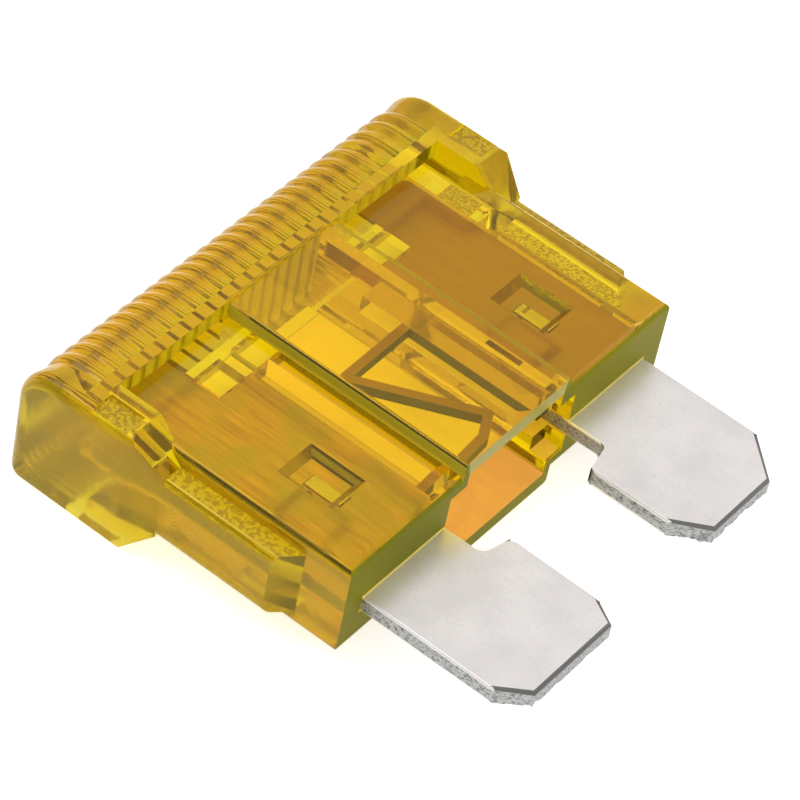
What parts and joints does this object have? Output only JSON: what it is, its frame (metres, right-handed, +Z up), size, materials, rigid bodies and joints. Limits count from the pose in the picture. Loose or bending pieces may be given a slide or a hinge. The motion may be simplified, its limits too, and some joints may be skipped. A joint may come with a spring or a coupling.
{
  "type": "blade fuse",
  "caption": "Automotive blade fuse: clear amber plastic housing with a ribbed grip and raised window over a Z-shaped fuse link, on two flat plug-in blades.",
  "frame": {"origin": "middle of the part's footprint, on the surface that it lies on", "axes": "+X across both blades, +Y from the blade tips to the ribbed grip, +Z up, out of the front window"},
  "size_m": [0.019, 0.0186, 0.0051],
  "materials": {
    "clear_amber_plastic": "clear amber polycarbonate, glossy, with lightly stippled ears and flanges",
    "tinned_zinc": "tinned zinc strip, satin, with fine scuffs and sheared edges"
  },
  "bodies": {
    "root": {"housing": "clear_amber_plastic", "fuse_element": "tinned_zinc"}
  },
  "joints": []
}
